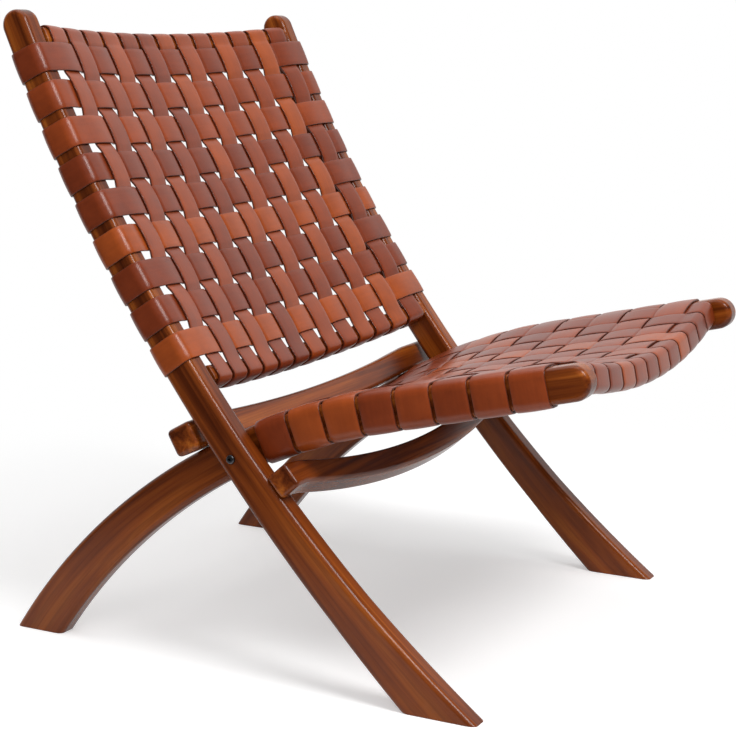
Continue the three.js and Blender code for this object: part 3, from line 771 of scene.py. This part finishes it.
# %% Metal and nylon
def handled(name, colour, roughness, metallic):
    """A plain finish with fine handling marks in its gloss."""
    material, tree, shader = new_finish(name)
    marks = noise(tree, add_node(tree, "TexCoord").outputs["Object"], Scale=700, Detail=3)
    gloss = add_node(tree, "MapRange", [("Value", marks)])
    gloss.inputs["To Min"].default_value = roughness - 0.1
    gloss.inputs["To Max"].default_value = roughness + 0.15
    tint = ramp(tree, marks, (0.3, [value * 0.7 for value in colour]), (0.65, colour))
    tree.links.new(gloss.outputs[0], shader.inputs["Roughness"])
    tree.links.new(tint, shader.inputs["Base Color"])
    shader.inputs["Metallic"].default_value = metallic
    return material


steel = handled("dark steel", (0.10, 0.10, 0.11), 0.35, 1)
brass = handled("brass", (0.42, 0.27, 0.09), 0.4, 1)
nylon = handled("dark nylon", (0.02, 0.017, 0.016), 0.55, 0)
for name, slot, material in (("threaded_insert", "brass", brass), ("spacer_washer", "nylon", nylon)):
    for side in ("right", "left"):
        part = frame["nodes"][f"{name}_{side}"]
        part.data.materials.clear()
        part.data.materials.append(material)
    print(name, "is", material.name)

# %% [markdown]
# ## Pivot bolts
# One button-head bolt at each side is the hinge. The head is a short cylinder whose rim gets a wide
# bevel, and its socket is cut with a six-sided bar: a Boolean does that in one step, where insetting and
# pushing in a face would need the round top to be re-cut first. The shank is joined on, and the bolt is
# turned to lie across the chair. The left bolt is a mirrored copy.

# %% Bolts
HEAD_RADIUS = 5.25 * MM
HEAD_HEIGHT = 3.3 * MM
HEAD_ROUNDING = 1.9 * MM
HEAD_GAP = 0.3 * MM
KEY_RADIUS = 2.1 * MM
KEY_LENGTH = 4 * MM
SHANK_RADIUS = 3 * MM
SHANK_LENGTH = 53 * MM


def round_bar(name, sides, radius, length, middle):
    bar = start(name, bpy.ops.mesh.primitive_cylinder_add, vertices=sides, radius=radius, depth=length)
    move_points(bar, points_of(bar) + (0, 0, middle))
    return bar


bolt = round_bar("pivot-bolt-right", 48, HEAD_RADIUS, HEAD_HEIGHT, HEAD_HEIGHT / 2)
rim = HEAD_HEIGHT - 0.1 * MM
round_edges(bolt, lambda a, b: min(a.z, b.z) > rim, HEAD_ROUNDING, segments=6)
key = round_bar("key", 6, KEY_RADIUS, KEY_LENGTH, HEAD_HEIGHT)
use_modifier(bolt, "BOOLEAN", operation="DIFFERENCE", object=key, solver="EXACT")
bpy.data.objects.remove(key)
shank = round_bar("shank", 32, SHANK_RADIUS, SHANK_LENGTH, -SHANK_LENGTH / 2)
bolt.select_set(True)
bpy.context.view_layer.objects.active = bolt
bpy.ops.object.join()
bpy.ops.object.mode_set(mode="EDIT")
bpy.ops.mesh.select_all(action="SELECT")
bpy.ops.transform.rotate(value=-math.pi / 2, orient_axis="Y", center_override=(0, 0, 0))
bpy.ops.transform.translate(value=(BACK_OUTER + HEAD_GAP, BOLT.y, BOLT.z))
bpy.ops.object.mode_set(mode="OBJECT")
for piece, side in ((bolt, "right"), (mirrored(bolt), "left")):
    smooth(piece, 40)
    finish_piece(piece, "back_frame", "steel", steel, f"pivot_bolt_{side}")
    print(piece.name, "reaches", round(np.abs(points_of(piece)[:, 0]).max() / MM, 1), "mm from the middle")

# %% [markdown]
# ## The colour of leather
# The straps are thick saddle leather, dyed red-brown. Each was cut from another part of the hide, so each
# has a tone of its own, which is stored on the strap as a number. Over that tone lie cloudy patches and
# fine fibres drawn out along the strap. The cut edges are burnished dark: each point knows how far it
# lies from the edge.

# %% Leather colour
def leather_colour(tree, place, cloud):
    """Tone of the strap, with clouds, fibres and burnished edges."""
    tone = ramp(
        tree, add_node(tree, "SeparateXYZ", [("Vector", place)]).outputs["Z"],
        (0.0, (0.145, 0.021, 0.005)),
        (0.35, (0.215, 0.034, 0.006)),
        (0.65, (0.280, 0.047, 0.007)),
        (1.0, (0.380, 0.074, 0.009)),
    )
    pulled = add_node(tree, "Mapping", [("Vector", place)], Scale=(14, 160, 5)).outputs[0]
    fibre = noise(tree, pulled, Scale=1.6, Detail=3)
    cloud_shade = ramp(tree, cloud, (0.30, (0.72, 0.67, 0.67)), (0.64, (1.08, 1.06, 1.02)))
    fibre_shade = ramp(tree, fibre, (0.30, (0.82, 0.80, 0.80)), (0.62, (1, 1, 1)))
    dyed = glazed(tree, glazed(tree, tone, cloud_shade, 0.75), fibre_shade, 0.5)
    rim = add_node(tree, "Attribute", attribute_name="rim").outputs["Fac"]
    burnish = add_node(tree, "MapRange", [("Value", rim)], interpolation_type="SMOOTHSTEP")
    burnish.inputs["From Min"].default_value = 0.1 * MM
    burnish.inputs["From Max"].default_value = 0.9 * MM
    burnish.inputs["To Min"].default_value = 0.75
    burnish.inputs["To Max"].default_value = 0
    links = [("Fac", burnish.outputs[0]), ("Color1", dyed)]
    return add_node(tree, "MixRGB", links, Color2=(0.060, 0.013, 0.007, 1)).outputs[0]


leather, tree, shader = new_finish("saddle leather")
flat_place = add_node(tree, "Attribute", attribute_name="flat").outputs["Vector"]
hide_place = add_node(tree, "Mapping", [("Vector", flat_place)], Scale=(1, 1, 3.7)).outputs[0]
cloud = noise(tree, hide_place, Scale=26, Detail=5, Roughness=0.6)
tree.links.new(leather_colour(tree, flat_place, cloud), shader.inputs["Base Color"])
print("leather colour has", len(tree.nodes), "nodes")

# %% [markdown]
# ## The surface of leather
# Waxed leather has a soft gloss that comes and goes with the patches, and a fine grain of cells and
# creases. They are far too small to model, so a Bump node only tilts the light. The grain is read on the
# flat strap, like the colour, so it turns with the strap round the wood.

# %% Leather gloss and grain
gloss = add_node(tree, "MapRange", [("Value", cloud)])
gloss.inputs["To Min"].default_value = 0.26
gloss.inputs["To Max"].default_value = 0.42
cells = add_node(tree, "TexVoronoi", [("Vector", hide_place)], Scale=900).outputs["Distance"]
creases = noise(tree, hide_place, Scale=150, Detail=4)
relief = add_node(tree, "Math", [(0, cells), (1, creases)], operation="ADD")
bump = add_node(tree, "Bump", [("Height", relief.outputs[0])], Strength=0.12, Distance=0.0004)
tree.links.new(gloss.outputs[0], shader.inputs["Roughness"])
tree.links.new(bump.outputs[0], shader.inputs["Normal"])
shader.inputs["Specular IOR Level"].default_value = 0.4
print("leather has", len(tree.nodes), "nodes")

# %% [markdown]
# ## The two weaves
# Straps across are rows, and straps along are columns. Both weaves are bowed, because the crossbars are:
# the columns stand side by side on an arc, and the rows lie along it. The taut back rises over its bow
# between the bars, and the seat's bow grows shallower towards the rear. One plan serves the back and the
# seat, with other numbers: where the rows and columns lie, how wide the straps are, and which one passes
# over.

# %% Plan of a woven face
STRAP_THICKNESS = 2.6 * MM
STRAP_LIFT = 1.8 * MM
BAR_HEIGHT, BAR_DEPTH, BAR_EDGE = 22 * MM, 26 * MM, 6 * MM
BAR_MARGIN = 14 * MM
SIDE_GAP = 0.5 * MM


class WovenFace:
    """One woven face: its wood, the clear width, the bow, and the middles of its rows and columns."""

    def __init__(self, edge, depth, half_span, bow, lift, bars, rows, columns, widths, over):
        self.edge, self.depth, self.half_span, self.bow = edge, depth, half_span, bow
        self.lift, self.bars, self.rows, self.over = lift, bars, rows, over
        self.row_width, self.column_width = widths
        self.radius = (half_span**2 + bow**2) / (2 * bow)
        wrap_radius = self.radius + BAR_DEPTH + STRAP_LIFT + STRAP_THICKNESS / 2
        half_arc = self.radius * math.asin((half_span - SIDE_GAP) / wrap_radius)
        self.columns = half_arc * ((2 * np.arange(1, columns + 1) - 1) / columns - 1)

    def bowed(self, arc, behind):
        """Sideways and away, for a length round the bow and a height behind it."""
        turn = arc / self.radius
        reach = self.radius + behind
        return reach * np.sin(turn), self.bow - self.radius + reach * np.cos(turn)

    def points(self, side, along, away):
        """Points in the room, with the weave's rise towards the sitter."""
        first, last = self.bars[0] + BAR_MARGIN, self.bars[1] - BAR_MARGIN
        share = np.clip((along - first) / (last - first), 0, 1)
        rise = self.lift(share) * np.maximum(0, 1 - (side / self.half_span) ** 2)
        return on_face(self.edge, side, along, away - rise)


back_face = WovenFace(
    edge=back_edge, depth=back_depth, half_span=BACK_INNER, bow=27 * MM,
    lift=lambda share: 7 * MM * np.sin(math.pi * share), bars=(100 * MM, 545 * MM),
    rows=np.linspace(516, 139.5, 9) * MM, columns=13, widths=(36 * MM, 36 * MM),
    over=lambda row, column: (row + column) % 2 == 0,
)
seat_face = WovenFace(
    edge=seat_edge, depth=seat_depth, half_span=SEAT_INNER, bow=32 * MM,
    lift=lambda share: 10 * MM * share, bars=(-398 * MM, 21 * MM),
    rows=np.linspace(-365, -45, 8) * MM, columns=12, widths=(41.5 * MM, 38.5 * MM),
    over=lambda row, column: (row + column) % 2 == 1,
)
for name, face in (("back", back_face), ("seat", seat_face)):
    print(name, len(face.rows), "rows and", len(face.columns), "columns")

# %% [markdown]
# ## Round the wood
# A strap starts as a short tail behind the wood, goes round the outer side and comes to the front. Its
# path is drawn in section, as (outward, away from the sitter): two straight runs joined by two quarter
# circles, a hair off the wood. The path is the middle of the leather's thickness.

# %% Path round a rail or a bar
WRAP_EDGE = 9 * MM
TURN_STEPS = 8


def wrap_path(inner, width, depth, radius):
    """From the tail behind the wood, round its outer side, to the front."""
    outer = inner + width
    turn = radius + STRAP_LIFT
    points = [(inner + radius, depth + STRAP_LIFT), ((inner + outer) / 2, depth + STRAP_LIFT)]
    for centre, first, last in ((depth - radius, 90, 0), (radius, 0, -90)):
        for angle in np.radians(np.linspace(first, last, TURN_STEPS)):
            points.append((outer - radius + turn * math.cos(angle), centre + turn * math.sin(angle)))
    points += [((inner + outer) / 2, -STRAP_LIFT), (inner + radius, -STRAP_LIFT)]
    return np.array(points)


bar_wrap = wrap_path(-BAR_HEIGHT / 2, BAR_HEIGHT, BAR_DEPTH, BAR_EDGE)
print("a wrap round a bar takes", round(np.linalg.norm(np.diff(bar_wrap, axis=0), axis=1).sum() / MM), "mm")

# %% [markdown]
# ## Over and under
# Between the wraps a strap passes over one crossing strap and under the next, with a short slope in the
# gap. Thick leather doesn't lie flat there: it bulges a little over each strap that it crosses. A cosine
# gives the slope, so that it starts and ends level. Where the weave meets a wrap, a curve joins them that
# leaves each in its own direction.

# %% Path through the weave
CROSSING_LIFT = 1.45 * MM
CROSSING_EASE = 1.6 * MM
CROSSING_BULGE = 1.0 * MM
SLOPE_STEPS = 8
CROSSING_STEPS = 9
BRIDGE_STEPS = 7


def weave_path(middles, crossed_width, overs):
    """Over and under the crossings: (distance, behind) points in rising order."""
    half = crossed_width / 2 - CROSSING_EASE
    points = []
    for middle, over in sorted(zip(middles, overs)):
        level = -STRAP_LIFT - CROSSING_LIFT if over else -STRAP_LIFT + CROSSING_LIFT
        if points:
            (x0, y0), x1 = points[-1], middle - half
            for share in np.linspace(0, 1, SLOPE_STEPS)[1:-1]:
                ease = (1 - math.cos(math.pi * share)) / 2
                points.append((x0 + (x1 - x0) * share, y0 + (level - y0) * ease))
        bulge = CROSSING_BULGE if over else 0
        shares = np.linspace(-1, 1, CROSSING_STEPS)
        points += [(middle + half * k, level - bulge * (1 - k * k)) for k in shares]
    return np.array(points)


def bridge(before, after):
    """A smooth curve from the end of one path to the start of the next."""
    reach = np.linalg.norm(after[0] - before[-1])
    leave = (before[-1] - before[-2]) / np.linalg.norm(before[-1] - before[-2]) * reach
    arrive = (after[1] - after[0]) / np.linalg.norm(after[1] - after[0]) * reach
    t = np.linspace(0, 1, BRIDGE_STEPS)[1:-1, None]
    return (
        (2 * t**3 - 3 * t**2 + 1) * before[-1]
        + (t**3 - 2 * t**2 + t) * leave
        + (3 * t**2 - 2 * t**3) * after[0]
        + (t**3 - t**2) * arrive
    )


def joined(first, middle, last):
    return np.vstack([first, bridge(first, middle), middle, bridge(middle, last), last])


example = weave_path(back_face.rows, back_face.row_width, [True, False] * 4 + [True])
print("one path through the weave has", len(example), "points")

# %% [markdown]
# ## Lines along a strap
# A strap is a band of lines that run side by side. A row's lines go from rail to rail, and a column's
# from bar to bar. Each line is worked out at its own distance from the middle of the strap, because the
# rail is a little deeper, and the bow a little different, at every place.

# %% Lines of rows and columns
def row_points(face, row, across):
    """Points in the room of one line along a strap that runs from rail to rail."""
    along = face.rows[row - 1] + across
    overs = [face.over(row, column) for column in range(1, len(face.columns) + 1)]
    right = wrap_path(face.half_span, RAIL_THICKNESS, float(face.depth(along)), WRAP_EDGE)
    woven = np.column_stack(face.bowed(*weave_path(face.columns, face.column_width, overs).T))
    path = joined(right * (-1, 1), woven, right[::-1])
    return face.points(path[:, 0], np.full(len(path), along), path[:, 1])


def column_points(face, column, across):
    """Points in the room of one line along a strap that runs from bar to bar."""
    overs = [not face.over(row, column) for row in range(1, len(face.rows) + 1)]
    first, last = face.bars
    woven = weave_path(face.rows, face.row_width, overs)
    path = joined(bar_wrap * (-1, 1) + (first, 0), woven, bar_wrap[::-1] + (last, 0))
    side, away = face.bowed(np.full(len(path), face.columns[column - 1] + across), path[:, 1])
    return face.points(side, path[:, 0], away)


for name, line in (("row", row_points(seat_face, 1, 0)), ("column", column_points(seat_face, 1, 0))):
    print("seat", name, "is", round(np.linalg.norm(np.diff(line, axis=0), axis=1).sum() / MM), "mm long")

# %% [markdown]
# ## Lay a strap
# A strap starts as a flat grid. Its lines are laid on the paths, and raised a little in the middle,
# because thick leather is crowned across its width. Solidify then gives the thickness on both sides of
# the grid, and a small bevel softens the cut edges. The grid also remembers the flat strap, its tone and
# the distance to its edges, which the leather's colour reads.

# %% One strap
STRAP_CROWN = 0.6 * MM
STRAP_BEVEL = 0.8 * MM
ACROSS = 6
TOWARDS_SITTER = np.array([0, -0.5, 0.8])


def crown_of(lines, shares):
    """How far a crowned strap stands off its flat lines: most in the middle, nothing at its edges."""
    outward = np.cross(np.gradient(lines, axis=0), np.gradient(lines, axis=1))
    outward /= np.linalg.norm(outward, axis=-1, keepdims=True)
    outward *= np.sign(outward[:, lines.shape[1] // 2].mean(axis=0) @ TOWARDS_SITTER)
    return outward * (STRAP_CROWN * (1 - shares**2))[:, None, None]


def lay_strap(name, line_points, width, tone):
    """A grid with one line of points per step across the strap, made into leather."""
    offsets = np.linspace(-width / 2, width / 2, ACROSS + 1)
    lines = np.array([line_points(offset) for offset in offsets])
    lines += crown_of(lines, offsets / (width / 2))
    steps = lines.shape[1] - 1
    grid_add = bpy.ops.mesh.primitive_grid_add
    strap = start(name, grid_add, x_subdivisions=steps, y_subdivisions=ACROSS, size=1)
    grid = points_of(strap) + 0.5
    i = np.rint(grid[:, 0] * steps).astype(int)
    j = np.rint(grid[:, 1] * ACROSS).astype(int)
    lengths = np.linalg.norm(np.diff(lines[ACROSS // 2], axis=0), axis=1)
    run = np.concatenate([[0], np.cumsum(lengths)])
    move_points(strap, lines[j, i])
    keep_flat(strap, np.column_stack([run[i], offsets[j], np.full(len(i), tone)]))
    rim = strap.data.attributes.new("rim", "FLOAT", "POINT")
    rim.data.foreach_set("value", (width / 2 - np.abs(offsets[j])).astype(np.float32))
    use_modifier(strap, "SOLIDIFY", thickness=STRAP_THICKNESS, offset=0, use_even_offset=True)
    cut = math.radians(60)
    use_modifier(strap, "BEVEL", width=STRAP_BEVEL, segments=2, limit_method="ANGLE", angle_limit=cut)
    smooth(strap, 45)
    return strap


print("a strap has", ACROSS + 1, "lines")

# %% [markdown]
# ## Weave the back and the seat
# All straps are laid, rows first. Each is a piece of its own, since no two have quite the same path.
# Their tones come from a seeded random number, so plum-dark, red-brown and orange straps are mixed in the
# same way every time.

# %% Weave
tones = np.random.default_rng(11)
for part, face in (("back", back_face), ("seat", seat_face)):
    for kind, count, points, width in (
        ("row", len(face.rows), row_points, face.row_width),
        ("column", len(face.columns), column_points, face.column_width),
    ):
        for number in range(1, count + 1):
            name = f"{part}-strap-{kind}-{number}"
            tone = tones.uniform(0.2, 0.95)
            strap = lay_strap(name, lambda across: points(face, number, across), width, tone)
            finish_piece(strap, f"{part}_frame", "leather", leather, name.replace("-", "_"))
        print(part, count, kind + "s,", len(strap.data.polygons), "faces each")

# %% [markdown]
# ## Check the size
# The finished chair has to keep the size of the measured one, so both boxes are written down side by
# side. They should agree to a fraction of a millimetre.

# %% Sizes
new_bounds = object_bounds()
boxes = {"cad": measured_bounds, "visual": new_bounds}
for name, box in boxes.items():
    print(name, [[round(value, 4) for value in corner] for corner in box])
